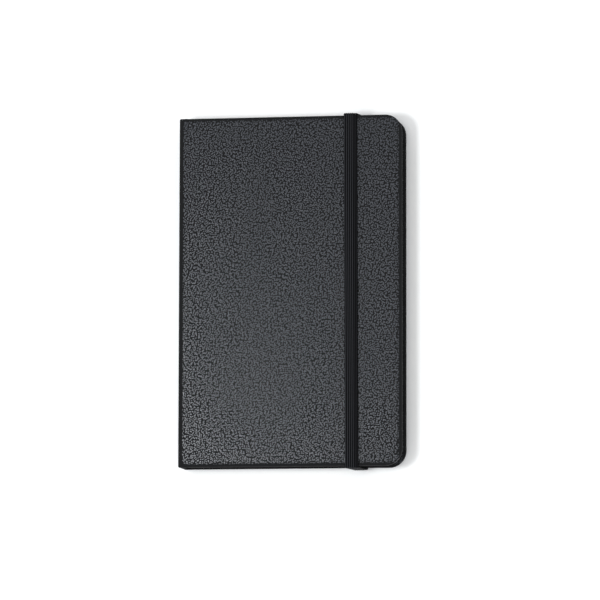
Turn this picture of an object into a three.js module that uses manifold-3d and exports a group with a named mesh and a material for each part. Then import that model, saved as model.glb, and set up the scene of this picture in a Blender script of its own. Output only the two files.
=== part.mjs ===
// Pocket sketchbook: a case-bound book of five sewn signatures between two covered boards,
// held shut by an elastic strap. Millimetres, +X from the spine to the fore edge, +Y to the head,
// +Z up out of the front cover. The origin is the middle of the back cover's outer face.
import * as THREE from "three";
import { mergeVertices } from "three/addons/utils/BufferGeometryUtils.js";
import Module from "manifold-3d";

const wasm = await Module();
wasm.setup();

// Driving dimensions.
const CASE_WIDTH = 90;
const CASE_HEIGHT = 140;
const CASE_THICKNESS = 14;
const COVER_CORNER_RADIUS = 6.75;
const SPINE_EDGE_RADIUS = 1;

// Cover build-up, from the outer face inwards.
const LAYER_GAP = 0.03;
const SKIN = 0.4;
const BOARD = 1.57;
const TURN_IN = 0.25;
const TURN_IN_WIDTH = 12;
const PAPER = 0.165;

// Leaves and signatures.
const LEAF_PITCH = PAPER + LAYER_GAP;
const SIGNATURES = 5;
const SHEETS_PER_SIGNATURE = 4;
const LEAVES_PER_SIGNATURE = 2 * SHEETS_PER_SIGNATURE;
const PAGE_HALF_HEIGHT = 67.3;
const PAGE_FORE_EDGE = 42;
const PAGE_CORNER_RADIUS = 5;
const BACK_OF_FOLDS = -43;
const BLOCK_BOTTOM = 3.305;
const TURNING_LEAF_START = -41;
const STUB_END = -41.3;

// Places of the case's own edges.
const HALF_WIDTH = CASE_WIDTH / 2;
const HALF_HEIGHT = CASE_HEIGHT / 2;
const BOARD_START = -41.3;
const FRONT_SKIN_START = -41.87;
const BACK_SKIN_START = -HALF_WIDTH + SPINE_EDGE_RADIUS + LAYER_GAP;
const SPINE_TOP = 12.2;

// Elastic strap.
const STRAP_WIDTH = 5.3;
const STRAP_THICKNESS = 0.85;
const STRAP_CLEARANCE = 0.1;
const STRAP_SLOT_X = 27;
const STRAP_HEAD_X = 24.4;
const STRAP_TAIL_X = 25;
const STRAP_RETURN_END = 62.2;
const STRAP_RETURN_Z = 0.05;
const STRAP_BEND_RADIUS = 1.05;
const CHANNEL_WIDTH = 6.6;
const CHANNEL_DEPTH = 1;
// The board's recess is this much larger all round than the channel in the material that lines it.
const CHANNEL_LINING = 0.3;
const SLOT_LENGTH_Y = 1.6;
const STRAP_TAB_LENGTH = 11;
const STRAP_TAB_THICKNESS = 0.5;

const ARC_STEPS = 5;
const FOLD_STEPS = 8;

const leather = new THREE.MeshStandardMaterial({ color: 0x2f3033, roughness: 0.55, metalness: 0 });
const greyboard = new THREE.MeshStandardMaterial({ color: 0x8c8880, roughness: 0.95, metalness: 0 });
const paper = new THREE.MeshStandardMaterial({ color: 0xf2eddf, roughness: 0.9, metalness: 0 });
const elastic = new THREE.MeshStandardMaterial({ color: 0x141517, roughness: 0.85, metalness: 0 });
const thread = new THREE.MeshStandardMaterial({ color: 0xe9e4d6, roughness: 0.8, metalness: 0 });
const mull = new THREE.MeshStandardMaterial({ color: 0xd8d2c2, roughness: 0.95, metalness: 0 });
const card = new THREE.MeshStandardMaterial({ color: 0xe9e2cf, roughness: 0.9, metalness: 0 });
const cloth = new THREE.MeshStandardMaterial({ color: 0x1b1c1f, roughness: 0.95, metalness: 0 });

const sketchbook = new THREE.Group();

function addPart(name, geometry, material) {
  const mesh = new THREE.Mesh(geometry, material);
  mesh.name = name;
  sketchbook.add(mesh);
}

function toSolid(geometry) {
  const bare = geometry.clone();
  bare.deleteAttribute("normal");
  bare.deleteAttribute("uv");
  const merged = mergeVertices(bare, 1e-5);
  return new wasm.Manifold(new wasm.Mesh({
    numProp: 3,
    vertProperties: new Float32Array(merged.attributes.position.array),
    triVerts: new Uint32Array(merged.index.array),
  }));
}

function toGeometry(solid) {
  const mesh = solid.getMesh();
  const geometry = new THREE.BufferGeometry();
  geometry.setAttribute("position", new THREE.BufferAttribute(new Float32Array(mesh.vertProperties), 3));
  geometry.setIndex(new THREE.BufferAttribute(new Uint32Array(mesh.triVerts), 1));
  geometry.computeVertexNormals();
  return geometry;
}

// A rectangle that is square at its spine side and rounded at its two fore-edge corners.
function roundedOutline(startX, endX, halfHeight, radius) {
  const shape = new THREE.Shape();
  shape.moveTo(startX, -halfHeight);
  shape.lineTo(endX - radius, -halfHeight);
  shape.absarc(endX - radius, -halfHeight + radius, radius, -Math.PI / 2, 0, false);
  shape.absarc(endX - radius, halfHeight - radius, radius, 0, Math.PI / 2, false);
  shape.lineTo(startX, halfHeight);
  shape.closePath();
  return shape;
}

function plate(shape, bottom, top) {
  const options = { depth: top - bottom, bevelEnabled: false, curveSegments: ARC_STEPS };
  return new THREE.ExtrudeGeometry(shape, options).translate(0, 0, bottom);
}

function block(x0, x1, y0, y1, z0, z1) {
  const geometry = new THREE.BoxGeometry(x1 - x0, y1 - y0, z1 - z0);
  return geometry.translate((x0 + x1) / 2, (y0 + y1) / 2, (z0 + z1) / 2);
}

// Extrudes an outline drawn in X and Z along Y, to the same distance on both sides of the middle.
function alongHeight(shape, halfHeight) {
  const options = { depth: 2 * halfHeight, bevelEnabled: false, curveSegments: FOLD_STEPS };
  return new THREE.ExtrudeGeometry(shape, options).rotateX(Math.PI / 2).translate(0, halfHeight, 0);
}

// Turns a cover built with its outer face at z = 0 into the front cover.
function toFront(geometry) {
  return geometry.rotateX(Math.PI).translate(0, 0, CASE_THICKNESS);
}

const SEAT_TOP = SKIN + LAYER_GAP + BOARD + LAYER_GAP;
const BOARD_BOTTOM = SKIN + LAYER_GAP;
const PASTEDOWN_BOTTOM = SEAT_TOP + TURN_IN + LAYER_GAP;
const COVER_INNER_FACE = PASTEDOWN_BOTTOM + PAPER;

// The covering material of one board: outer skin, wrapped edges and turn-ins on three sides.
function coverSkin(startX) {
  const outside = roundedOutline(startX, HALF_WIDTH, HALF_HEIGHT, COVER_CORNER_RADIUS);
  const seat = roundedOutline(
    startX - 1, HALF_WIDTH - SKIN, HALF_HEIGHT - SKIN, COVER_CORNER_RADIUS - SKIN);
  const rim = SKIN + TURN_IN_WIDTH;
  const window = roundedOutline(startX - 1, HALF_WIDTH - rim, HALF_HEIGHT - rim, 1);
  return toSolid(plate(outside, 0, SEAT_TOP + TURN_IN))
    .subtract(toSolid(plate(seat, SKIN, SEAT_TOP)))
    .subtract(toSolid(plate(window, SKIN + BOARD, SEAT_TOP + TURN_IN + 1)));
}

function coverBoard() {
  const inset = SKIN + LAYER_GAP;
  const shape = roundedOutline(
    BOARD_START, HALF_WIDTH - inset, HALF_HEIGHT - inset, COVER_CORNER_RADIUS - inset);
  return plate(shape, BOARD_BOTTOM, BOARD_BOTTOM + BOARD);
}

function pageOutline(startX) {
  return roundedOutline(startX, PAGE_FORE_EDGE, PAGE_HALF_HEIGHT, PAGE_CORNER_RADIUS);
}

function addFrontCover() {
  addPart("front_cover_wrap", toFront(toGeometry(coverSkin(FRONT_SKIN_START))), leather);
  addPart("front_board", toFront(coverBoard()), greyboard);
  const pastedown = plate(pageOutline(TURNING_LEAF_START), PASTEDOWN_BOTTOM, COVER_INNER_FACE);
  addPart("front_pastedown", toFront(pastedown), paper);
}

// The strap's channel in the back cover's outer face, one at the head and one at the tail.
function strapChannel(side, depth, margin) {
  const inner = side * (STRAP_RETURN_END - 0.2 - margin);
  const outer = side * (HALF_HEIGHT + 1);
  const half = CHANNEL_WIDTH / 2 + margin;
  return toSolid(block(
    STRAP_SLOT_X - half, STRAP_SLOT_X + half,
    Math.min(inner, outer), Math.max(inner, outer), -1, depth + margin));
}

// The slot through the board and the shallow seat for the strap's glued end on its inner face.
function strapSlot(side) {
  const y0 = side > 0 ? STRAP_RETURN_END - 0.2 : -STRAP_RETURN_END + 0.2 - SLOT_LENGTH_Y;
  const half = CHANNEL_WIDTH / 2;
  const slot = block(STRAP_SLOT_X - half, STRAP_SLOT_X + half, y0, y0 + SLOT_LENGTH_Y, -1, SEAT_TOP + 1);
  const end = side * (STRAP_RETURN_END + 0.5);
  const inner = side * (STRAP_RETURN_END - STRAP_TAB_LENGTH - 0.3);
  const seat = block(
    STRAP_SLOT_X - half, STRAP_SLOT_X + half, Math.min(inner, end), Math.max(inner, end),
    BOARD_BOTTOM + BOARD - STRAP_TAB_THICKNESS - 0.1, SEAT_TOP + 1);
  return toSolid(slot).add(toSolid(seat));
}

function addBackCover() {
  let skin = coverSkin(BACK_SKIN_START);
  let board = toSolid(coverBoard());
  for (const side of [1, -1]) {
    skin = skin.subtract(strapChannel(side, CHANNEL_DEPTH - LAYER_GAP, 0));
    board = board.subtract(strapChannel(side, CHANNEL_DEPTH - LAYER_GAP, CHANNEL_LINING));
    board = board.subtract(strapSlot(side));
  }
  addPart("back_cover_wrap", toGeometry(skin), leather);
  addPart("back_board", toGeometry(board), greyboard);
}

// The skin over the spine ends in a quarter round at the back cover's edge.
function addSpine() {
  const x0 = -HALF_WIDTH;
  const r = SPINE_EDGE_RADIUS;
  const skin = new THREE.Shape();
  skin.moveTo(x0 + SKIN, SPINE_TOP);
  skin.lineTo(x0, SPINE_TOP);
  skin.lineTo(x0, r);
  skin.absarc(x0 + r, r, r, Math.PI, 1.5 * Math.PI, false);
  skin.lineTo(x0 + r, SKIN);
  skin.absarc(x0 + r, r, r - SKIN, 1.5 * Math.PI, Math.PI, true);
  skin.closePath();
  addPart("spine_wrap", alongHeight(skin, HALF_HEIGHT), leather);

  const stiffenerStart = x0 + SKIN + 0.05;
  const stiffenerHalf = HALF_HEIGHT - SKIN - LAYER_GAP;
  const stiffener = block(stiffenerStart, stiffenerStart + 0.55, -stiffenerHalf, stiffenerHalf, 2.6, 11.4);
  addPart("spine_stiffener", stiffener, greyboard);

  const liningHalf = PAGE_HALF_HEIGHT - 3;
  addPart("spine_lining", block(-43.6, -43.4, -liningHalf, liningHalf, 3.2, 11.2), mull);
}

// The flexible corner between the spine and the front cover.
function addFrontJointStrip() {
  const x0 = -HALF_WIDTH;
  const r = SPINE_EDGE_RADIUS;
  const top = CASE_THICKNESS;
  const end = FRONT_SKIN_START - LAYER_GAP;
  const strip = new THREE.Shape();
  strip.moveTo(x0, SPINE_TOP + LAYER_GAP);
  strip.lineTo(x0 + SKIN, SPINE_TOP + LAYER_GAP);
  strip.lineTo(x0 + SKIN, top - r);
  strip.absarc(x0 + r, top - r, r - SKIN, Math.PI, Math.PI / 2, true);
  strip.lineTo(end, top - SKIN);
  strip.lineTo(end, top);
  strip.lineTo(x0 + r, top);
  strip.absarc(x0 + r, top - r, r, Math.PI / 2, Math.PI, false);
  strip.closePath();
  addPart("front_joint_strip", alongHeight(strip, HALF_HEIGHT), leather);
}

// A sheet folded once: a lower and an upper leaf joined by a half round at the spine side.
function foldedSheet(lowerZ, upperZ, foldCentreX, upperEnd) {
  const radius = (upperZ + PAPER - lowerZ) / 2;
  const centreZ = lowerZ + radius;
  const inner = radius - PAPER;
  const beyond = PAGE_FORE_EDGE + 1;
  const profile = new THREE.Shape();
  profile.moveTo(upperEnd, upperZ + PAPER);
  profile.lineTo(foldCentreX, upperZ + PAPER);
  profile.absarc(foldCentreX, centreZ, radius, Math.PI / 2, 1.5 * Math.PI, false);
  profile.lineTo(beyond, lowerZ);
  profile.lineTo(beyond, lowerZ + PAPER);
  profile.lineTo(foldCentreX, lowerZ + PAPER);
  profile.absarc(foldCentreX, centreZ, inner, 1.5 * Math.PI, Math.PI / 2, true);
  profile.lineTo(upperEnd, upperZ);
  profile.closePath();
  const trim = plate(pageOutline(BACK_OF_FOLDS - 1), lowerZ - 1, upperZ + 1);
  return toGeometry(toSolid(alongHeight(profile, PAGE_HALF_HEIGHT + 1)).intersect(toSolid(trim)));
}

function leafBottom(index) {
  return BLOCK_BOTTOM + index * LEAF_PITCH;
}

// Signature 1 is the uppermost. Its upper leaves turn with their own bodies, so its sheets
// keep only a stub of them at the fold.
function addSignatures() {
  const foldRadius = ((LEAVES_PER_SIGNATURE - 1) * LEAF_PITCH + PAPER) / 2;
  for (let signature = 1; signature <= SIGNATURES; signature += 1) {
    const lowest = (SIGNATURES - signature) * LEAVES_PER_SIGNATURE;
    for (let sheet = 1; sheet <= SHEETS_PER_SIGNATURE; sheet += 1) {
      const lower = leafBottom(lowest + sheet - 1);
      const upper = leafBottom(lowest + LEAVES_PER_SIGNATURE - sheet);
      const upperEnd = signature === 1 ? STUB_END : PAGE_FORE_EDGE + 1;
      const geometry = foldedSheet(lower, upper, BACK_OF_FOLDS + foldRadius, upperEnd);
      addPart(`signature_${signature}_sheet_${sheet}`, geometry, paper);
    }
  }
}

function addTurningLeaves() {
  const highest = SIGNATURES * LEAVES_PER_SIGNATURE - 1;
  const outline = pageOutline(TURNING_LEAF_START);
  for (let leaf = 1; leaf <= SHEETS_PER_SIGNATURE; leaf += 1) {
    const bottom = leafBottom(highest + 1 - leaf);
    addPart(`leaf_${leaf}`, plate(outline, bottom, bottom + PAPER), paper);
  }
  const flyleaf = leafBottom(highest + 1);
  addPart("front_flyleaf", plate(outline, flyleaf, flyleaf + PAPER), paper);
}

// One folded sheet is both the back pastedown and the back flyleaf.
function addBackEndpaper() {
  const lower = PASTEDOWN_BOTTOM;
  const upper = leafBottom(-1);
  const radius = (upper + PAPER - lower) / 2;
  addPart("back_endpaper", foldedSheet(lower, upper, BACK_OF_FOLDS + radius, PAGE_FORE_EDGE + 1), paper);
}

// Link stitches behind the folds, at four sewing stations.
function addSewing() {
  const stations = 4;
  const firstY = -49.5;
  const spacing = 33;
  const top = leafBottom(SIGNATURES * LEAVES_PER_SIGNATURE) - LAYER_GAP;
  for (let station = 0; station < stations; station += 1) {
    const y = firstY + station * spacing;
    const stitch = block(-43.35, -43.05, y - 0.4, y + 0.4, BLOCK_BOTTOM, top);
    addPart(`sewing_thread_${station + 1}`, stitch, thread);
  }
}

// Flat pocket on the inside of the back cover, open towards the spine.
function addPocket() {
  const bottom = COVER_INNER_FACE + LAYER_GAP;
  const gusset = 0.2;
  const panelBottom = bottom + gusset + LAYER_GAP;
  const spineSide = -36;
  const foreSide = 40.5;
  const half = 65.5;
  const width = 9;
  const panel = roundedOutline(spineSide, foreSide, half, 4);
  addPart("pocket_panel", plate(panel, panelBottom, panelBottom + 0.3), card);
  const strips = { head: half, tail: -half };
  for (const [name, edge] of Object.entries(strips)) {
    const inner = edge - Math.sign(edge) * width;
    const strip = block(
      spineSide + 1, foreSide - width - 0.3, Math.min(edge, inner), Math.max(edge, inner),
      bottom, bottom + gusset);
    addPart(`pocket_gusset_${name}`, strip, cloth);
  }
  const fore = roundedOutline(foreSide - width, foreSide, half, 4);
  addPart("pocket_gusset_fore", plate(fore, bottom, bottom + gusset), cloth);
}

// Sideways place of the strap's centre: over the slots at the back, nearer the spine in front.
function strapCentreX(y, z) {
  const towardsHead = (y + HALF_HEIGHT) / CASE_HEIGHT;
  const front = STRAP_TAIL_X + (STRAP_HEAD_X - STRAP_TAIL_X) * towardsHead;
  const rise = Math.min(Math.max(z / CASE_THICKNESS, 0), 1);
  return STRAP_SLOT_X + (front - STRAP_SLOT_X) * rise;
}

// Traces half of the strap's side view, mirrored for the tail.
function strapPath(offset) {
  const edge = HALF_HEIGHT + STRAP_CLEARANCE + offset;
  const low = STRAP_RETURN_Z + STRAP_THICKNESS - offset;
  const high = CASE_THICKNESS + STRAP_CLEARANCE + offset;
  const radius = STRAP_BEND_RADIUS - STRAP_THICKNESS + offset;
  const path = new THREE.Path();
  path.moveTo(STRAP_RETURN_END, low);
  path.lineTo(edge - radius, low);
  path.absarc(edge - radius, low + radius, radius, -Math.PI / 2, 0, false);
  path.absarc(edge - radius, high - radius, radius, 0, Math.PI / 2, false);
  const half = path.getPoints(ARC_STEPS);
  const mirrored = half.map((point) => new THREE.Vector2(-point.x, point.y)).reverse();
  return half.concat(mirrored);
}

function addStrap() {
  const outer = strapPath(STRAP_THICKNESS);
  const inner = strapPath(0).reverse();
  const shape = new THREE.Shape(outer.concat(inner));
  const geometry = new THREE.ExtrudeGeometry(shape, { depth: STRAP_WIDTH, bevelEnabled: false });
  const turn = new THREE.Matrix4().makeBasis(
    new THREE.Vector3(0, 1, 0), new THREE.Vector3(0, 0, 1), new THREE.Vector3(1, 0, 0));
  geometry.applyMatrix4(turn).translate(-STRAP_WIDTH / 2, 0, 0);
  const position = geometry.attributes.position;
  for (let i = 0; i < position.count; i += 1) {
    position.setX(i, position.getX(i) + strapCentreX(position.getY(i), position.getZ(i)));
  }
  geometry.computeVertexNormals();
  addPart("elastic_strap", geometry, elastic);
}

// The strap's ends, glued into the board's inner face through the slots.
function addStrapEnds() {
  const top = BOARD_BOTTOM + BOARD;
  const half = STRAP_WIDTH / 2;
  const ends = { head: 1, tail: -1 };
  for (const [name, side] of Object.entries(ends)) {
    const outer = side * (STRAP_RETURN_END + 0.3);
    const inner = side * (STRAP_RETURN_END - STRAP_TAB_LENGTH);
    const tab = block(
      STRAP_SLOT_X - half, STRAP_SLOT_X + half, Math.min(inner, outer), Math.max(inner, outer),
      top - STRAP_TAB_THICKNESS, top);
    addPart(`strap_end_${name}`, tab, elastic);
  }
}

addFrontCover();
addFrontJointStrip();
addSpine();
addBackCover();
addBackEndpaper();
addSignatures();
addTurningLeaves();
addSewing();
addPocket();
addStrap();
addStrapEnds();

export default sketchbook;
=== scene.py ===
import math

import bmesh
import bpy
from mathutils import Euler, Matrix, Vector
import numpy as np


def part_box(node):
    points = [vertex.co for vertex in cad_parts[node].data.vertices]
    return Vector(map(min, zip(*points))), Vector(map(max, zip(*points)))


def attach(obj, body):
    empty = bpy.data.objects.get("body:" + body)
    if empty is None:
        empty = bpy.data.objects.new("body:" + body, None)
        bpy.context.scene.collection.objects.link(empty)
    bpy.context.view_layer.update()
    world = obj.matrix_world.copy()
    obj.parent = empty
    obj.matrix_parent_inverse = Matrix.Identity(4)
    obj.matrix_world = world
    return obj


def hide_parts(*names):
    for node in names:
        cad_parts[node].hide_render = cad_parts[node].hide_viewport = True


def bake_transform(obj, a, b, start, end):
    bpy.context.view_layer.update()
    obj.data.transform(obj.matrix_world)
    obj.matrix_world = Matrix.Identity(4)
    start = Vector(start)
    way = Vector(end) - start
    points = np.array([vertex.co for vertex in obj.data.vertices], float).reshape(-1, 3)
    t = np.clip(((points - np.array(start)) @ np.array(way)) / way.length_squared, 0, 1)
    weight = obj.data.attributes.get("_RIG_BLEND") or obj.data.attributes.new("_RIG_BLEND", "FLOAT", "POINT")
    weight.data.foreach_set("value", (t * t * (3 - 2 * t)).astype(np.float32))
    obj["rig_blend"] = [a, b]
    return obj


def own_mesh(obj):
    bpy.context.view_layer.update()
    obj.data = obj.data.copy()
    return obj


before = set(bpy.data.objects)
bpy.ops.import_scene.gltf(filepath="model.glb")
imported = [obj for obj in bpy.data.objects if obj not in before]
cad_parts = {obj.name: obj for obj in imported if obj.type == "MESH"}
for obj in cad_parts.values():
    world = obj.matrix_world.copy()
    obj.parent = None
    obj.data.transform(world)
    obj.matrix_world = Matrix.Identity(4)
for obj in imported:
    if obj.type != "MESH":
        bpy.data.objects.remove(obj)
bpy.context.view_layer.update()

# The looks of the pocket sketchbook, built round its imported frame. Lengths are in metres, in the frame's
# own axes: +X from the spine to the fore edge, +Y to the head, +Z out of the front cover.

MM = 0.001

# Places read from the frame.
FRONT_LOW, FRONT_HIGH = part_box("front_cover_wrap")
X_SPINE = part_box("spine_wrap")[0].x
X_FORE = FRONT_HIGH.x
HALF_HEIGHT = FRONT_HIGH.y
Z_TOP = FRONT_HIGH.z
COVER_THICK = FRONT_HIGH.z - FRONT_LOW.z
BACK_OF_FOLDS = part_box("signature_1_sheet_1")[0].x
ENDPAPER_FOLD = BACK_OF_FOLDS + (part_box("front_pastedown")[1].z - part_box("front_flyleaf")[0].z) / 2

# Case shape. The leatherette is a skin, turned in over the boards' edges. The case thins from the boards to
# the flexible joint over a step, and its front and back halves meet in the spine. No edge radius is more
# than the largest share of the thickness.
SPINE_RADIUS = 1.0 * MM
CORNER_RADIUS = 6.75 * MM
EDGE_RADIUS = 0.7 * MM
INNER_EDGE_RADIUS = 0.48 * MM
LARGEST_EDGE_SHARE = 0.48
SKIN = 0.25 * MM
JOINT_THICK = 0.8 * MM
SPINE_THICK = 1.35 * MM
SPINE_STEP = 1.0 * MM
BOARD_START = -41.33 * MM
BOARD_STEP = 0.55 * MM
TURN_IN = 12.4 * MM
SPINE_SPLIT_Z = 10.8 * MM

# Insets of the case mesh's rings on the face and on the turn-in, and how finely its parts are divided.
FACE_INSETS = (CORNER_RADIUS, 4 * MM, 2.4 * MM, 1.4 * MM)
TURN_IN_INSETS = (1.4 * MM, 4 * MM, CORNER_RADIUS, TURN_IN)
EDGE_STEPS = 6
CORNER_STEPS = 16
FACE_ROWS = 24
FACE_COLUMNS = 18
STEP_COLUMNS = 5
JOINT_COLUMNS = 8
BEND_COLUMNS = 10
SPINE_COLUMNS = 8

# Where the embossing dies out: its share at the edges, and the flat border there and at the spine's corner.
# The same share darkens the leatherette's base colour there as painted shade.
PRESSED_GRAIN = 0.25
EDGE_BORDER = 0.7 * MM
SPINE_BORDER = 1.0 * MM
BORDER_FADE = 1.0 * MM

# Strap, with its channels and slots in the back cover.
STRAP_LOW, STRAP_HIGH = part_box("elastic_strap")
STRAP_SLOT_X = 27 * MM
STRAP_HEAD_X = 24.4 * MM
STRAP_TAIL_X = 25.0 * MM
STRAP_WIDTH = 5.3 * MM
STRAP_THICK = 0.8 * MM
STRAP_BEND = 0.75 * MM
STRAP_GAP = 0.02 * MM
STRAP_IN_SLOT = 0.75 * MM
CHANNEL_HALF = 3.25 * MM
CHANNEL_SIDE = 0.35 * MM
CHANNEL_DEPTH = 0.93 * MM
CHANNEL_END = 62.1 * MM
CHANNEL_RAMP = 0.40 * MM
CHANNEL_STEPS = 5
COLUMN_ROOM = 0.2 * MM
SLOT_HALF = 2.8 * MM
SLOT_START = 62.2 * MM

# The strap's ends, glued in the board and bent down through the slots: their gap to the seat and to the
# slot's end, the radius inside the bend, and how far above the strap's back they stop.
END_GAP = 0.01 * MM
END_SLOT_GAP = 0.06 * MM
END_INSIDE_RADIUS = 0.1 * MM
END_STOP = 0.03 * MM

# How finely the strap and its ends are divided along their length.
BACK_RINGS = 8
STRAP_BEND_RINGS = 7
EDGE_RINGS = 10
FRONT_RINGS = 30
END_GLUED_RINGS = 8
END_BEND_RINGS = 6
END_DOWN_RINGS = 5

# The strap's ribs, with troughs between them that die out towards one side. Places are shares of the width.
STRAP_RIBS = 7
RIB_COLUMNS = 6
RIB_ROUNDNESS = 1.1
RIB_TROUGH = 0.26 * MM
RIB_FADE_START = 0.62
RIB_FADE_WIDTH = 0.2
RIB_FADE = 0.7
STRAP_SIDE_THINNING = 0.10 * MM
STRAP_LEAST_HALF = 0.12 * MM
SELVEDGE_SHARES = (0.62, 0.81)

# Pages. Each turning sheet bends between its start in the gutter and its gutter end. A leaf's body and its
# gutter end stand under its node.
PAGE_CORNER = 5 * MM
LEAF_START = -41.28 * MM
LEAVES = {
    "leaf_1": ("first_leaf", -39.2 * MM),
    "leaf_2": ("second_leaf", -38.9 * MM),
    "leaf_3": ("third_leaf", -38.6 * MM),
    "leaf_4": ("fourth_leaf", -38.3 * MM),
}
FLYLEAF_START = ENDPAPER_FOLD + 0.02 * MM
FLYLEAF_GUTTER_END = -40.6 * MM
PASTEDOWN_GUTTER_END = -41.3 * MM
SHEET_ROWS = 16
GUTTER_COLUMNS = 14
MIDDLE_COLUMNS = 10
PAGE_CORNER_COLUMNS = 8
FOLD_COLUMNS = 10

# Sewing thread. Its plies' places and sizes are shares of its radius.
STITCHES = 4
THREAD_RADIUS = 0.14 * MM
THREAD_STEP = 0.1 * MM
THREAD_PLIES = 2
THREAD_SIDES = 6
PLY_PLACE = 0.5
PLY_RADIUS = 0.46
TWIST_PITCH = 7
ANY_DIRECTION = Vector((0.31, 0.2, 0.93))

# Leatherette grain. Its patterns are made in millimetres: the pebbles' pitch and how far they are warped.
# The turn lets a flat pattern run on over the edges. The weights say what each pattern adds to the relief.
GRAIN_PITCH = 0.635
GRAIN_WARP = 0.8
GRAIN_TURN = (0.45, 0.45, 0)
GRAIN_DEPTH = 0.03 * MM
GRAIN_SPECULAR = 0.49
PEBBLE_REACH = 0.66
PEBBLE_SHINE_WEIGHT = 0.9
WRINKLE_WEIGHT = 0.3
FINE_WEIGHT = 0.05
BROAD_WEIGHT = 0.3

# Camera and studio.
CAMERA_AIM = Vector((4.16, -3.79, 14)) * MM
CAMERA_DISTANCE = 1.7185
CAMERA_TILT = (6.23, 9.29, 0.11)
CAMERA_LENS = 259.5
FLOOR_DROP = 0.02 * MM
KEY_PLACE = (-0.22, -0.07, 0.75)
KEY_SIZE = 0.16
KEY_POWER = 2.7


# ---------------------------------------------------------------- helpers

def finish_mesh(name, bm, smooth_angle=40):
    """Turns a bmesh into a shaded object in the scene."""
    bmesh.ops.remove_doubles(bm, verts=bm.verts, dist=1e-7)
    bmesh.ops.dissolve_degenerate(bm, edges=bm.edges, dist=1e-8)
    mesh = bpy.data.meshes.new(name)
    bm.to_mesh(mesh)
    bm.free()
    piece = bpy.data.objects.new(name, mesh)
    bpy.context.scene.collection.objects.link(piece)
    for polygon in mesh.polygons:
        polygon.use_smooth = True
    mesh.set_sharp_from_angle(angle=math.radians(smooth_angle))
    return piece


def grid_faces(bm, rows, closed=False):
    """Joins rows of vertices of equal length with quads, or with triangles where rows meet in a point."""
    made = []
    for first, second in zip(rows, rows[1:]):
        count = len(first)
        for i in range(count if closed else count - 1):
            j = (i + 1) % count
            corners = list(dict.fromkeys((first[i], first[j], second[j], second[i])))
            if len(corners) > 2:
                made.append(bm.faces.new(corners))
    return made


def spread(start, end, count):
    """Numbers from start to end in count even steps."""
    return [start + (end - start) * i / count for i in range(count + 1)]


def smoothstep(value):
    """Rises smoothly from 0 to 1 while the value does."""
    t = min(max(value, 0.0), 1.0)
    return t * t * (3 - 2 * t)


# ---------------------------------------------------------------- materials

def new_material(name, color, roughness, **settings):
    """A material with its node tree and its shader, whose sockets are set by name, with _ for a space."""
    material = bpy.data.materials.new(name)
    material.use_nodes = True
    shader = material.node_tree.nodes["Principled BSDF"]
    shader.inputs["Base Color"].default_value = (*color, 1)
    shader.inputs["Roughness"].default_value = roughness
    for key, value in settings.items():
        shader.inputs[key.replace("_", " ")].default_value = value
    return material, material.node_tree, shader


def add_node(tree, kind, values=None, **properties):
    """A node with its properties set, and its inputs' values by name."""
    node = tree.nodes.new(kind)
    for key, value in properties.items():
        setattr(node, key, value)
    for key, value in (values or {}).items():
        node.inputs[key].default_value = value
    return node


def scaled_place(tree, attribute, scale, turn=(0, 0, 0)):
    """The piece's own place, from its stored attribute or its object, in units of the pattern."""
    if attribute:
        source = add_node(tree, "ShaderNodeAttribute", attribute_name=attribute).outputs["Vector"]
    else:
        source = add_node(tree, "ShaderNodeTexCoord").outputs["Object"]
    mapping = add_node(tree, "ShaderNodeMapping", {"Scale": scale, "Rotation": turn})
    tree.links.new(source, mapping.inputs["Vector"])
    return mapping.outputs["Vector"]


def math_node(tree, operation, first, second):
    """The result of a Math node, whose two operands are numbers or other nodes' outputs."""
    node = add_node(tree, "ShaderNodeMath", operation=operation)
    for socket, value in zip(node.inputs, (first, second)):
        if isinstance(value, (int, float)):
            socket.default_value = value
        else:
            tree.links.new(value, socket)
    return node.outputs[0]


def noise(tree, vector, scale, detail=2.0, roughness=0.5, distortion=0.0):
    """A noise pattern from 0 to 1."""
    node = add_node(tree, "ShaderNodeTexNoise", {
        "Scale": scale, "Detail": detail, "Roughness": roughness, "Distortion": distortion})
    tree.links.new(vector, node.inputs["Vector"])
    return node.outputs["Fac"]


def ramp(tree, factor, stops):
    """A colour ramp's output. Each stop is a place from 0 to 1 and a colour."""
    node = add_node(tree, "ShaderNodeValToRGB")
    elements = node.color_ramp.elements
    while len(elements) < len(stops):
        elements.new(0.5)
    for element, (place, color) in zip(elements, stops):
        element.position = place
        element.color = (*color, 1)
    tree.links.new(factor, node.inputs["Fac"])
    return node.outputs["Color"]


def add_bump(tree, shader, height, distance):
    """Gives the shader a relief, which is distance deep where the height is 1."""
    bump = add_node(tree, "ShaderNodeBump", {"Distance": distance, "Strength": 1.0})
    tree.links.new(height, bump.inputs["Height"])
    tree.links.new(bump.outputs["Normal"], shader.inputs["Normal"])


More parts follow.
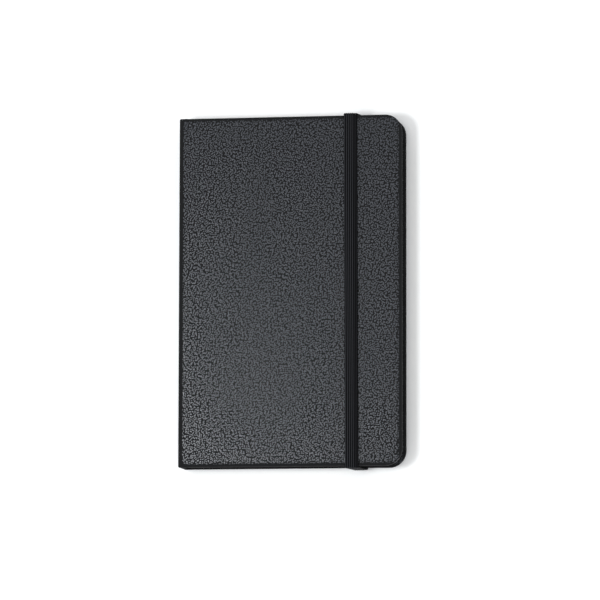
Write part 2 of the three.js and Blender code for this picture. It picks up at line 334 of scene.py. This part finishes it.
def leatherette_material():
    """Black embossed cover material: fine pebbles, glossy on top and dull in the hollows between them.

    The grain is deepest on the faces and dies out where the material is turned over edges, which are dull
    and painted near black as painted shade. The pebbles' tops are painted lighter as painted sheen, and the
    hollows between them near black as painted shade.
    """
    material, tree, shader = new_material(
        "leatherette", (0.014, 0.0148, 0.0172), 0.28, Specular_IOR_Level=GRAIN_SPECULAR)
    place = scaled_place(tree, "rest_place", (1000, 1000, 1000), GRAIN_TURN)
    warp = add_node(tree, "ShaderNodeTexNoise", {"Scale": 0.32, "Detail": 1.0})
    tree.links.new(place, warp.inputs["Vector"])
    mix = add_node(tree, "ShaderNodeVectorMath", operation="MULTIPLY_ADD")
    tree.links.new(warp.outputs["Color"], mix.inputs[0])
    mix.inputs[1].default_value = (GRAIN_WARP,) * 3
    tree.links.new(place, mix.inputs[2])
    warped = mix.outputs[0]
    cells = add_node(tree, "ShaderNodeTexVoronoi", {"Scale": 1 / GRAIN_PITCH, "Randomness": 0.9},
                     voronoi_dimensions="2D", feature="F1")
    tree.links.new(warped, cells.inputs["Vector"])
    rise = add_node(tree, "ShaderNodeMapRange", {"From Min": PEBBLE_REACH, "From Max": 0.0},
                    interpolation_type="SMOOTHSTEP")
    tree.links.new(cells.outputs["Distance"], rise.inputs["Value"])
    pebble = rise.outputs["Result"]
    wrinkle = noise(tree, warped, 2.2, detail=1.0, roughness=0.55, distortion=0.9)
    fine = noise(tree, warped, 4.5)
    low_wrinkle = math_node(tree, "MULTIPLY", wrinkle, WRINKLE_WEIGHT)
    height = math_node(tree, "ADD", pebble, low_wrinkle)
    height = math_node(tree, "ADD", height, math_node(tree, "MULTIPLY", fine, FINE_WEIGHT))
    # The embossing's depth scales the relief, and where it is low the base colour is darkened as painted
    # shade.
    depth = add_node(tree, "ShaderNodeAttribute", attribute_name="grain_depth_and_edge_shade").outputs["Fac"]
    broad = noise(tree, place, 0.03)
    amount = math_node(tree, "ADD", math_node(tree, "MULTIPLY", broad, BROAD_WEIGHT), 1 - BROAD_WEIGHT / 2)
    height = math_node(tree, "MULTIPLY", height, math_node(tree, "MULTIPLY", amount, depth))
    add_bump(tree, shader, height, GRAIN_DEPTH)
    lift = math_node(tree, "ADD", math_node(tree, "MULTIPLY", pebble, PEBBLE_SHINE_WEIGHT), low_wrinkle)
    lift = math_node(tree, "MULTIPLY", lift, depth)
    # Painted light and shade in the base colour: near black in the hollows between pebbles and on the
    # pressed-flat edges as painted shade, lighter on the pebbles' tops as painted sheen.
    tone = ramp(tree, lift, [(0.42, (0.0006, 0.0009, 0.0015)), (0.78, (0.027, 0.031, 0.040))])
    tree.links.new(tone, shader.inputs["Base Color"])
    dullness = ramp(tree, lift, [(0.44, (1.0,) * 3), (0.76, (0.23,) * 3)])
    tree.links.new(dullness, shader.inputs["Roughness"])
    return material


def elastic_material():
    """Black elastic: dull yarn over rubber cords, with fine cross lines of weft. Its base colour is lighter
    on the ribs' tops and darker in the troughs, at the selvedges and over the thinner flat side, as painted
    shade.
    """
    material, tree, shader = new_material(
        "woven_elastic", (0.007, 0.0072, 0.008), 0.6, Specular_IOR_Level=0.04)
    place = scaled_place(tree, "rest_place", (1000, 1000, 1000))
    parts = add_node(tree, "ShaderNodeSeparateXYZ")
    tree.links.new(place, parts.inputs[0])
    lift = math_node(tree, "ABSOLUTE", parts.outputs["Z"], 0)
    wave = add_node(tree, "ShaderNodeTexWave", {"Scale": 0.62, "Distortion": 0.6, "Detail": 1.0},
                    wave_type="BANDS", bands_direction="Y")
    tree.links.new(place, wave.inputs["Vector"])
    fuzz = noise(tree, place, 7.0, detail=3.0, roughness=0.6)
    height = math_node(tree, "ADD", math_node(tree, "MULTIPLY", wave.outputs["Fac"], 0.6),
                       math_node(tree, "MULTIPLY", fuzz, 0.7))
    add_bump(tree, shader, height, 0.05 * MM)
    # Painted shade: the base colour darkens where the band is thinner, in the troughs between ribs, at the
    # selvedges and over the flat side.
    rib = add_node(tree, "ShaderNodeMapRange", {"From Min": 0.18, "From Max": 0.4})
    tree.links.new(lift, rib.inputs["Value"])
    shade = math_node(tree, "MULTIPLY", rib.outputs["Result"], math_node(tree, "ADD", fuzz, 0.5))
    tone = ramp(tree, shade, [(0.3, (0.0004, 0.0005, 0.0007)), (0.98, (0.026, 0.027, 0.030))])
    tree.links.new(tone, shader.inputs["Base Color"])
    return material


def paper_material(name, color, tooth, loose=False):
    """Ivory paper with tooth: fibres on a loose sheet, and fine lines of leaves on the edges of a stack."""
    material, tree, shader = new_material(name, color, 0.85, Specular_IOR_Level=0.25)
    attribute = "rest_place" if loose else None
    place = scaled_place(tree, attribute, (1000, 1000, 1000))
    grain = noise(tree, place, 3.2, detail=4.0, roughness=0.62)
    add_bump(tree, shader, grain, tooth)
    if loose:
        pattern = noise(tree, scaled_place(tree, attribute, (900, 350, 900)), 1.0, detail=3.0)
        darkest = 0.95
    else:
        pattern = noise(tree, scaled_place(tree, None, (1, 1, 5200)), 1.0, detail=1.0)
        darkest = 0.82
    tone = ramp(tree, pattern, [(0.3, tuple(c * darkest for c in color)), (0.7, color)])
    tree.links.new(tone, shader.inputs["Base Color"])
    return material


def board_material():
    """Grey binder's board: flecked, matt and a little layered."""
    material, tree, shader = new_material("greyboard", (0.27, 0.25, 0.22), 0.95)
    place = scaled_place(tree, None, (1000, 1000, 3000))
    flecks = noise(tree, place, 1.6, detail=5.0, roughness=0.7)
    tone = ramp(tree, flecks, [(0.3, (0.17, 0.155, 0.135)), (0.7, (0.33, 0.31, 0.28))])
    tree.links.new(tone, shader.inputs["Base Color"])
    add_bump(tree, shader, flecks, 0.06 * MM)
    return material


def woven_material(name, dark, light, pitch):
    """Plain-woven cloth of a given thread pitch."""
    material, tree, shader = new_material(name, light, 0.9, Sheen_Weight=0.1)
    count = 1 / pitch
    place = scaled_place(tree, None, (count, count, count))
    heights = []
    for direction in ("X", "Y"):
        wave = add_node(tree, "ShaderNodeTexWave", {"Scale": 0.32, "Distortion": 0.3},
                        wave_type="BANDS", bands_direction=direction)
        tree.links.new(place, wave.inputs["Vector"])
        heights.append(wave.outputs["Fac"])
    weave = math_node(tree, "MAXIMUM", *heights)
    tone = ramp(tree, weave, [(0.2, dark), (0.9, light)])
    tree.links.new(tone, shader.inputs["Base Color"])
    add_bump(tree, shader, weave, 0.3 * pitch)
    return material


def thread_material():
    """Undyed linen thread with short fibres."""
    material, tree, shader = new_material("linen_thread", (0.82, 0.79, 0.70), 0.6)
    place = scaled_place(tree, None, (1000, 1000, 1000))
    fibre = noise(tree, place, 9.0, detail=4.0, roughness=0.6)
    tone = ramp(tree, fibre, [(0.3, (0.62, 0.58, 0.48)), (0.7, (0.86, 0.83, 0.75))])
    tree.links.new(tone, shader.inputs["Base Color"])
    add_bump(tree, shader, fibre, 0.02 * MM)
    return material


LEATHERETTE = leatherette_material()
ELASTIC = elastic_material()
PAGE_STACK = paper_material("drawing_paper_stack", (0.73, 0.69, 0.585), 0.02 * MM)
PAGE_PAPER = paper_material("drawing_paper", (0.73, 0.69, 0.585), 0.02 * MM, loose=True)
ENDPAPER = paper_material("endpaper", (0.72, 0.68, 0.575), 0.012 * MM, loose=True)
GREYBOARD = board_material()
POCKET_CLOTH = woven_material("bookcloth", (0.008, 0.008, 0.009), (0.035, 0.036, 0.04), 0.4 * MM)
MULL = woven_material("mull", (0.42, 0.38, 0.30), (0.74, 0.70, 0.60), 0.8 * MM)
THREAD = thread_material()


# ---------------------------------------------------------------- the case

# Lengths along the case's outside: a cover's flat part, and the quarter turn from it into the spine.
FLAT = X_FORE - X_SPINE - SPINE_RADIUS
QUARTER = math.pi / 2 * SPINE_RADIUS


def from_fore_edge(x):
    """Distance along the case, from a cover's fore edge, of a place on its flat part."""
    return X_FORE - x


def case_thickness(s):
    """Thickness of the case at a distance s along its outside from a cover's fore edge."""
    x = X_FORE - s
    into_joint = smoothstep((BOARD_START - x) / BOARD_STEP)
    into_spine = smoothstep((s - FLAT - QUARTER) / SPINE_STEP)
    thick = COVER_THICK + (JOINT_THICK - COVER_THICK) * into_joint
    return thick + (SPINE_THICK - JOINT_THICK) * into_spine


def front_place(s, v, depth):
    """A point at a distance s from the front fore edge, v up the book, and depth under the skin's face."""
    if s <= FLAT:
        return Vector((X_FORE - s, v, Z_TOP - depth))
    if s <= FLAT + QUARTER:
        angle = (s - FLAT) / SPINE_RADIUS
        radius = SPINE_RADIUS - depth
        return Vector((
            X_SPINE + SPINE_RADIUS - radius * math.sin(angle), v,
            Z_TOP - SPINE_RADIUS + radius * math.cos(angle)))
    return Vector((X_SPINE + depth, v, Z_TOP - SPINE_RADIUS - (s - FLAT - QUARTER)))


def back_place(s, v, depth):
    """The same for the back cover, which the front cover mirrors."""
    point = front_place(s, v, depth)
    return Vector((point.x, v, Z_TOP - point.z))


def channel_share(s, v):
    """How much of the strap channel's depth there is at a place on the back cover, from 0 to 1."""
    x = X_FORE - s
    across = smoothstep((CHANNEL_HALF - abs(x - STRAP_SLOT_X)) / CHANNEL_SIDE)
    along = smoothstep((abs(v) - CHANNEL_END + CHANNEL_RAMP) / CHANNEL_RAMP)
    return across * along


def grain_share(s, v):
    """How deep the embossing stays: pressed flat at the cover's edges and over the spine's corners, where
    the leatherette's base colour is also darkened as painted shade.
    """
    from_edge = min(s, HALF_HEIGHT - abs(v))
    from_spine = abs(s - FLAT - QUARTER / 2)
    inside_edge = smoothstep((from_edge - EDGE_BORDER) / BORDER_FADE)
    off_spine = smoothstep((from_spine - SPINE_BORDER) / BORDER_FADE)
    return PRESSED_GRAIN + (1 - PRESSED_GRAIN) * inside_edge * off_spine


def edge_profile():
    """Rings from the face over the rounded edge to the end of the turn-in.

    Each has an inset from the cover's edge, a share of the thickness, a share of an edge radius, that
    radius, and the direction to the material's inner surface as inset and depth.
    """
    rings = [(inset, 0, 0, 0, 0, 1) for inset in FACE_INSETS]
    for i in range(EDGE_STEPS + 1):
        angle = math.pi / 2 * i / EDGE_STEPS
        across, down = math.sin(angle), math.cos(angle)
        rings.append((EDGE_RADIUS * (1 - across), 0, 1 - down, EDGE_RADIUS, across, down))
    for i in range(EDGE_STEPS + 1):
        angle = math.pi / 2 * i / EDGE_STEPS
        across, down = math.cos(angle), math.sin(angle)
        rings.append((INNER_EDGE_RADIUS * (1 - across), 1, down - 1, INNER_EDGE_RADIUS, across, -down))
    return rings + [(inset, 1, 0, 0, 0, -1) for inset in TURN_IN_INSETS]


def corner_stations(s_centre, v_centre, start_angle):
    """Stations round a corner, without its two ends: a place, and the direction outwards from it."""
    stations = []
    for i in range(1, CORNER_STEPS):
        angle = start_angle + math.pi / 2 * i / CORNER_STEPS
        stations.append((s_centre, v_centre, math.cos(angle), math.sin(angle)))
    return stations


def cover_shell(bm, place, along, up, under, channels):
    """One surface of a cover: its outer one, or the inner one a skin's thickness under it.

    along and up are the columns and rows of the face inside the corners' inset. Returns the surface's
    vertices by key, so that the two surfaces can be joined where they end.
    """
    layer = bm.verts.layers.float_vector["rest_place"]
    grain = bm.verts.layers.float["grain_depth_and_edge_shade"]
    inset = CORNER_RADIUS
    inner = HALF_HEIGHT - inset
    stations = [(s, inner, 0, 1) for s in reversed(along)]
    stations += corner_stations(inset, inner, math.pi / 2)
    stations += [(inset, v, -1, 0) for v in reversed(up)]
    stations += corner_stations(inset, -inner, math.pi)
    stations += [(s, -inner, 0, -1) for s in along]
    found = {}

    def vertex(s, v, ring, reach):
        """The surface's vertex at a place on a ring, made once. reach is the direction out of the cover."""
        ring_inset, depth_share, radius_share, edge_radius, to_inset, to_depth = ring
        key = (round(s, 7), round(v, 7), ring_inset, depth_share, radius_share)
        if key in found:
            return found[key]
        thick = case_thickness(s)
        radius = min(edge_radius, LARGEST_EDGE_SHARE * thick)
        depth = depth_share * thick + radius_share * radius + under * to_depth
        s_under = s - under * to_inset * reach[0]
        v_under = v - under * to_inset * reach[1]
        if channels:
            sunk = CHANNEL_DEPTH * channel_share(s, v)
            on_face = not radius_share and not depth_share
            depth = sunk + (under * to_depth if on_face else depth * (1 - sunk / thick))
        made = bm.verts.new(place(s_under, v_under, depth))
        made[layer] = (s, v, depth)
        made[grain] = grain_share(s, v)
        found[key] = made
        return made

    rings = edge_profile()
    rows = []
    for ring in rings:
        ring_inset = ring[0]
        row = []
        out = inset - ring_inset
        for s, v, ds, dv in stations:
            if out >= 0:
                s_here = s + ds * out
                v_here = v + dv * out
            else:
                s_here = max(s, ring_inset)
                reach = abs(v + dv * out) if ds == 0 else abs(v)
                v_here = math.copysign(min(reach, HALF_HEIGHT - ring_inset), v)
            row.append(vertex(s_here, v_here, ring, (ds, dv)))
        rows.append(row)
    grid_faces(bm, rows)
    face_rows = [[vertex(s, v, rings[0], (0, 0)) for v in up] for s in along]
    faces = grid_faces(bm, face_rows)
    if channels:
        for face in faces:
            middle = sum((Vector(corner[layer]) for corner in face.verts), Vector()) / len(face.verts)
            if abs(X_FORE - middle.x - STRAP_SLOT_X) < SLOT_HALF and abs(middle.y) > SLOT_START:
                bm.faces.remove(face)
    return found


def half_case(name, place, along, up, channels=False):
    """One cover with its share of the spine: the face, rounded edges and turn-ins on three sides.

    along holds distances from the cover's fore edge, from the corner's inset to the split in the spine.
    """
    bm = bmesh.new()
    bm.verts.layers.float_vector.new("rest_place")
    bm.verts.layers.float.new("grain_depth_and_edge_shade")
    outer = cover_shell(bm, place, along, up, 0.0, channels)
    rim = [edge for edge in bm.edges if len(edge.link_faces) == 1]
    key_of = {vertex: key for key, vertex in outer.items()}
    inner = cover_shell(bm, place, along, up, SKIN, channels)
    for edge in rim:
        first, second = edge.verts
        corners = list(dict.fromkeys((first, second, inner[key_of[second]], inner[key_of[first]])))
        bm.faces.new(corners)
    bmesh.ops.recalc_face_normals(bm, faces=bm.faces)
    piece = finish_mesh(name, bm, smooth_angle=50)
    piece.data.materials.append(LEATHERETTE)
    return piece


def case_along(spine_end):
    """Distances from the fore edge along a cover and its half of the spine."""
    joint = from_fore_edge(BOARD_START)
    flat = spread(CORNER_RADIUS, joint, FACE_COLUMNS)
    groove = spread(joint, joint + BOARD_STEP, STEP_COLUMNS)[1:]
    gap = spread(joint + BOARD_STEP, FLAT, JOINT_COLUMNS)[1:]
    bend = spread(FLAT, FLAT + QUARTER, BEND_COLUMNS)[1:]
    spine = spread(FLAT + QUARTER, spine_end, SPINE_COLUMNS)[1:]
    return flat + groove + gap + bend + spine


def case_up(extra=()):
    """Rows up the face of a cover, between its corners, with any extra ones."""
    inner = HALF_HEIGHT - CORNER_RADIUS
    return sorted(set(spread(-inner, inner, FACE_ROWS)) | set(extra))


def with_channel_columns(along):
    """Adds the columns that the strap's channels and slots need, in place of those with too little room."""
    middle = from_fore_edge(STRAP_SLOT_X)
    columns = []
    for side in (1, -1):
        for inward in spread(0, CHANNEL_SIDE, CHANNEL_STEPS):
            columns.append(middle + side * (CHANNEL_HALF - inward))
        columns.append(middle + side * SLOT_HALF)
    keep = [s for s in along if all(abs(s - c) > COLUMN_ROOM for c in columns)]
    return sorted(keep + columns)


def channel_rows():
    """The rows that the ramps of the strap channels and the ends of the slots need."""
    rows = [CHANNEL_END - CHANNEL_RAMP + up for up in spread(0, CHANNEL_RAMP, CHANNEL_STEPS)] + [SLOT_START]
    return rows + [-row for row in rows]


def make_case():
    """The leatherette in two halves that meet in the spine, and the boards and stiffener under it."""
    front_end = FLAT + QUARTER + (Z_TOP - SPINE_RADIUS - SPINE_SPLIT_Z)
    back_end = FLAT + QUARTER + (SPINE_SPLIT_Z - SPINE_RADIUS)
    front = half_case("front_cover_leatherette", front_place, case_along(front_end), case_up())
    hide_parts("front_cover_wrap", "front_joint_strip")
    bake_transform(front, "book", "front_cover",
             start=(X_SPINE + 1.1 * MM, 0, 12.2 * MM), end=(X_SPINE + 3.25 * MM, 0, 12.9 * MM))
    back = half_case("back_cover_leatherette", back_place,
                     with_channel_columns(case_along(back_end)), case_up(channel_rows()), channels=True)
    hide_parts("back_cover_wrap", "spine_wrap")
    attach(back, "book")
    for name in ("front_board", "back_board", "spine_stiffener"):
        finish_node(name, GREYBOARD)


def finish_node(name, material):
    """Gives a carried-over CAD node its material."""
    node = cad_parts[name]
    node.data.materials.clear()
    node.data.materials.append(material)


# ---------------------------------------------------------------- paper

def sheet_columns(x_start, gutter_end, x_end):
    """Columns of a page, close together at the gutter and round the trimmed corners."""
    gutter = spread(x_start, gutter_end, GUTTER_COLUMNS)
    middle = spread(gutter_end, x_end - PAGE_CORNER, MIDDLE_COLUMNS)[1:]
    angles = spread(0, math.pi / 2, PAGE_CORNER_COLUMNS)[1:]
    corner = [x_end - PAGE_CORNER + PAGE_CORNER * math.sin(angle) for angle in angles]
    return gutter + middle + corner


def sheet_mesh(name, columns, low, high, path=None):
    """A thin closed sheet with two rounded fore-edge corners, between its lowest and highest corner.

    Where the spine end is bent, path gives the X and Z of a column on a side: 0 is below and 1 is above.
    """
    bm = bmesh.new()
    layer = bm.verts.layers.float_vector.new("rest_place")
    thick = high.z - low.z
    faces = {0: [], 1: []}
    for x in columns:
        beyond = max(x - (high.x - PAGE_CORNER), 0)
        reach = high.y - PAGE_CORNER + math.sqrt(max(PAGE_CORNER ** 2 - beyond ** 2, 0))
        for side in (0, 1):
            row = []
            for j in range(SHEET_ROWS + 1):
                y = reach * (2 * j / SHEET_ROWS - 1)
                point = path(x, side) if path else (x, low.z + thick * side)
                made = bm.verts.new((point[0], y, point[1]))
                made[layer] = (x, y, thick * side)
                row.append(made)
            faces[side].append(row)
    grid_faces(bm, faces[1])
    grid_faces(bm, [row[::-1] for row in faces[0]])
    for lower, upper in ((faces[0][0], faces[1][0]), (faces[1][-1], faces[0][-1])):
        grid_faces(bm, [upper, lower])
    for end in (0, -1):
        lower = [row[end] for row in faces[0]]
        upper = [row[end] for row in faces[1]]
        grid_faces(bm, [lower, upper] if end == 0 else [upper, lower])
    bmesh.ops.recalc_face_normals(bm, faces=bm.faces)
    return finish_mesh(name, bm, smooth_angle=50)


def turning_sheet(node, body, start, gutter_end, material):
    """A leaf that bends out of the fold into its own turning body."""
    low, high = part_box(node)
    piece = sheet_mesh(node + "_sheet", sheet_columns(start, gutter_end, high.x), low, high)
    piece.data.materials.append(material)
    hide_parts(node)
    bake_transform(piece, "book", body, start=(start, 0, 0), end=(gutter_end, 0, 0))


def make_pastedown():
    """The front pastedown, joined to the book by the fold of its endpaper."""
    low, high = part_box("front_pastedown")
    fly_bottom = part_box("front_flyleaf")[0].z
    radius = (high.z - fly_bottom) / 2
    centre_x = BACK_OF_FOLDS + radius
    centre_z = (high.z + fly_bottom) / 2
    thick = high.z - low.z
    turn = math.pi * radius

    def path(x, side):
        """Flat under the cover, and before centre_x a half turn down to the flyleaf's level."""
        if x >= centre_x:
            return x, low.z + thick * side
        angle = math.pi * min((centre_x - x) / turn, 1)
        reach = radius - thick * (1 - side)
        return centre_x - reach * math.sin(angle), centre_z + reach * math.cos(angle)

    columns = spread(centre_x - turn, centre_x, FOLD_COLUMNS)[:-1]
    columns += sheet_columns(centre_x, PASTEDOWN_GUTTER_END, high.x)
    piece = sheet_mesh("front_pastedown_sheet", columns, low, high, path)
    piece.data.materials.append(ENDPAPER)
    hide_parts("front_pastedown")
    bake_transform(piece, "book", "front_cover", start=(centre_x, 0, 0), end=(PASTEDOWN_GUTTER_END, 0, 0))


def make_paper():
    """The turning sheets and endpapers, and the materials of the text block, the pocket and the lining."""
    for node, (body, gutter_end) in LEAVES.items():
        turning_sheet(node, body, LEAF_START, gutter_end, PAGE_PAPER)
    turning_sheet("front_flyleaf", "flyleaf", FLYLEAF_START, FLYLEAF_GUTTER_END, ENDPAPER)
    make_pastedown()
    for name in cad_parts:
        if name.startswith("signature_"):
            finish_node(name, PAGE_STACK)
    finish_node("back_endpaper", PAGE_STACK)
    finish_node("pocket_panel", PAGE_STACK)
    for name in ("pocket_gusset_head", "pocket_gusset_tail", "pocket_gusset_fore"):
        finish_node(name, POCKET_CLOTH)
    finish_node("spine_lining", MULL)


# ---------------------------------------------------------------- thread

def twisted_thread(name, points):
    """A thread of twisted plies along a line of points."""
    bm = bmesh.new()
    pitch = THREAD_RADIUS * TWIST_PITCH
    for ply in range(THREAD_PLIES):
        rows = []
        travelled = 0.0
        for i, point in enumerate(points):
            ahead = points[min(i + 1, len(points) - 1)] - points[max(i - 1, 0)]
            ahead.normalize()
            across = ahead.cross(ANY_DIRECTION).normalized()
            third = ahead.cross(across)
            if i:
                travelled += (point - points[i - 1]).length
            phase = 2 * math.pi * (travelled / pitch + ply / THREAD_PLIES)
            sideways = across * math.cos(phase) + third * math.sin(phase)
            centre = point + sideways * THREAD_RADIUS * PLY_PLACE
            ring = []
            for k in range(THREAD_SIDES):
                angle = 2 * math.pi * k / THREAD_SIDES
                offset = across * math.cos(angle) + third * math.sin(angle)
                ring.append(bm.verts.new(centre + offset * THREAD_RADIUS * PLY_RADIUS))
            rows.append(ring)
        grid_faces(bm, rows, closed=True)
        bm.faces.new(rows[0])
        bm.faces.new(rows[-1][::-1])
    bmesh.ops.recalc_face_normals(bm, faces=bm.faces)
    piece = finish_mesh(name, bm, smooth_angle=60)
    piece.data.materials.append(THREAD)
    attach(piece, "book")
    return piece


def dense_line(start, end, step):
    """Points on a straight line, about a step apart."""
    count = max(int((end - start).length / step), 2)
    return [start.lerp(end, i / count) for i in range(count + 1)]


def make_sewing():
    """Link stitches behind the folds."""
    for number in range(1, STITCHES + 1):
        node = f"sewing_thread_{number}"
        low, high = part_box(node)
        centre = (low + high) / 2
        bottom = Vector((centre.x, centre.y, low.z))
        top = Vector((centre.x, centre.y, high.z))
        piece = twisted_thread(f"link_stitch_{number}", dense_line(bottom, top, THREAD_STEP))
        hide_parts(node)


# ---------------------------------------------------------------- strap

def strap_section():
    """Places across the ribbed band, each with half its thickness. The ribs die out towards one side."""
    count = STRAP_RIBS * RIB_COLUMNS
    section = []
    for i in range(count + 1):
        share = i / count
        x = STRAP_WIDTH * (share - 0.5)
        rib = abs(math.sin(math.pi * STRAP_RIBS * share)) ** RIB_ROUNDNESS
        flat_side = smoothstep((share - RIB_FADE_START) / RIB_FADE_WIDTH)
        from_selvedge = min(i, count - i)
        full = STRAP_THICK / 2
        if from_selvedge < len(SELVEDGE_SHARES):
            full *= SELVEDGE_SHARES[from_selvedge]
        trough = RIB_TROUGH * (1 - rib) * (1 - RIB_FADE * flat_side)
        section.append((x, max(full - trough - STRAP_SIDE_THINNING * flat_side, STRAP_LEAST_HALF)))
    return section


def strap_route():
    """Centre line of the strap in Y and Z, with its outward normal, from the head slot over the front."""
    inset = STRAP_THICK / 2 + STRAP_GAP
    slot_y = SLOT_START + STRAP_IN_SLOT
    low = STRAP_LOW.z + inset
    high = STRAP_HIGH.z - inset
    edge = STRAP_HIGH.y - inset
    bend = STRAP_BEND
    route = []

    def arc(cy, cz, start, end):
        """A bend round a centre in Y and Z, between two angles in degrees."""
        for degrees in spread(start, end, STRAP_BEND_RINGS):
            angle = math.radians(degrees)
            normal = (math.cos(angle), math.sin(angle))
            route.append((cy + bend * normal[0], cz + bend * normal[1], normal))

    for y in spread(slot_y, edge - bend, BACK_RINGS)[:-1]:
        route.append((y, low, (0.0, -1.0)))
    arc(edge - bend, low + bend, -90, 0)
    for z in spread(low + bend, high - bend, EDGE_RINGS)[1:-1]:
        route.append((edge, z, (1.0, 0.0)))
    arc(edge - bend, high - bend, 0, 90)
    for y in spread(edge - bend, 0, FRONT_RINGS)[1:]:
        route.append((y, high, (0.0, 1.0)))
    tail = [(-y, z, (-n[0], n[1])) for y, z, n in reversed(route[:-1])]
    return route + tail


def strap_centre(y, z):
    """Sideways place of the strap: over its slots at the back, nearer the spine on the front."""
    head = min(max((y + HALF_HEIGHT) / (2 * HALF_HEIGHT), 0), 1)
    front = STRAP_TAIL_X + (STRAP_HEAD_X - STRAP_TAIL_X) * head
    return STRAP_SLOT_X + (front - STRAP_SLOT_X) * min(max(z / Z_TOP, 0), 1)


def make_strap_end(node, side):
    """The strap's flattened end: glued in the board's seat, then bent down through the slot to the band."""
    low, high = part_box(node)
    half = (high.z - low.z) / 2 - END_GAP
    level = (low.z + high.z) / 2
    turn = SLOT_START + half + END_SLOT_GAP
    bend = half + END_INSIDE_RADIUS
    glued = min(abs(low.y), abs(high.y))
    route = [(y, level, (0.0, 1.0)) for y in spread(glued, turn - bend, END_GLUED_RINGS)]
    for i in range(1, END_BEND_RINGS + 1):
        angle = math.pi / 2 * (1 - i / END_BEND_RINGS)
        normal = (math.cos(angle), math.sin(angle))
        route.append((turn - bend + bend * normal[0], level - bend + bend * normal[1], normal))
    down = spread(level - bend, STRAP_LOW.z + END_STOP, END_DOWN_RINGS)[1:]
    route += [(turn, z, (1.0, 0.0)) for z in down]
    sided_route = [(side * y, z, (side * n[0], n[1])) for y, z, n in route]
    flattened = [(x, h * half * 2 / STRAP_THICK) for x, h in strap_section()]
    band_sweep(node + "_band", sided_route, flattened, node)


def band_sweep(name, route, section, node):
    """A ribbed band along a line of centres in Y and Z, each with its outward normal."""
    bm = bmesh.new()
    layer = bm.verts.layers.float_vector.new("rest_place")
    rows = []
    travelled = 0.0
    last = None
    for y, z, normal in route:
        if last:
            travelled += math.hypot(y - last[0], z - last[1])
        last = (y, z)
        centre = strap_centre(y, z) if node == "elastic_strap" else STRAP_SLOT_X
        ring = []
        for x, h in section + [(x, -h) for x, h in reversed(section)]:
            made = bm.verts.new((centre + x, y + normal[0] * h, z + normal[1] * h))
            made[layer] = (x, travelled, h)
            ring.append(made)
        rows.append(ring)
    grid_faces(bm, rows, closed=True)
    count = len(section)
    for ring in (rows[0], rows[-1]):
        for i in range(count - 1):
            bm.faces.new((ring[i], ring[i + 1], ring[2 * count - 2 - i], ring[2 * count - 1 - i]))
    bmesh.ops.recalc_face_normals(bm, faces=bm.faces)
    band = finish_mesh(name, bm, smooth_angle=60)
    band.data.materials.append(ELASTIC)
    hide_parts(node)
    if node != "elastic_strap":
        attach(band, "book")
    return band


def make_strap():
    """The band round the book, which turns with its body as it is released, and its two glued ends."""
    strap = band_sweep("elastic_band", strap_route(), strap_section(), "elastic_strap")
    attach(strap, "closure_strap")
    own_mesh(strap)
    make_strap_end("strap_end_head", 1)
    make_strap_end("strap_end_tail", -1)


# ---------------------------------------------------------------- stage

def make_stage():
    """A plain white floor, a sky that is bright overhead and greyer at the horizon, and a soft light."""
    bm = bmesh.new()
    bmesh.ops.create_grid(bm, x_segments=8, y_segments=8, size=9)
    floor = finish_mesh("floor", bm)
    floor.location = (0, 0, -FLOOR_DROP)
    paper = new_material("floor_paper", (0.97, 0.97, 0.97), 0.9, Specular_IOR_Level=0.1)[0]
    floor.data.materials.append(paper)

    world = bpy.data.worlds.new("studio")
    bpy.context.scene.world = world
    world.use_nodes = True
    tree = world.node_tree
    background = tree.nodes["Background"]
    background.inputs["Strength"].default_value = 1.0
    upward = add_node(tree, "ShaderNodeSeparateXYZ")
    tree.links.new(add_node(tree, "ShaderNodeTexCoord").outputs["Generated"], upward.inputs[0])
    sky = ramp(tree, upward.outputs["Z"], [(0.0, (0.43, 0.435, 0.44)), (0.55, (0.955, 0.97, 0.985))])
    tree.links.new(sky, background.inputs["Color"])

    light = bpy.data.lights.new("key_left", "AREA")
    light.shape = "DISK"
    light.size = KEY_SIZE
    light.energy = KEY_POWER
    light.color = (0.96, 0.985, 1.0)
    lamp = bpy.data.objects.new("key_left", light)
    lamp.location = KEY_PLACE
    lamp.rotation_euler = (-Vector(KEY_PLACE)).to_track_quat("-Z", "Y").to_euler()
    bpy.context.scene.collection.objects.link(lamp)


def make_camera():
    """The photo's view: from above, a little towards the fore edge and the tail, with a long lens."""
    camera = bpy.data.objects.new("camera", bpy.data.cameras.new("camera"))
    bpy.context.scene.collection.objects.link(camera)
    turn = Euler([math.radians(a) for a in CAMERA_TILT], "XYZ")
    camera.rotation_euler = turn
    camera.location = CAMERA_AIM + turn.to_matrix() @ Vector((0, 0, CAMERA_DISTANCE))
    camera.data.lens = CAMERA_LENS
    camera.data.clip_end = 20
    bpy.context.scene.camera = camera
    bpy.context.scene.view_settings.view_transform = "Standard"


make_camera()
make_case()
make_paper()
make_sewing()
make_strap()
make_stage()
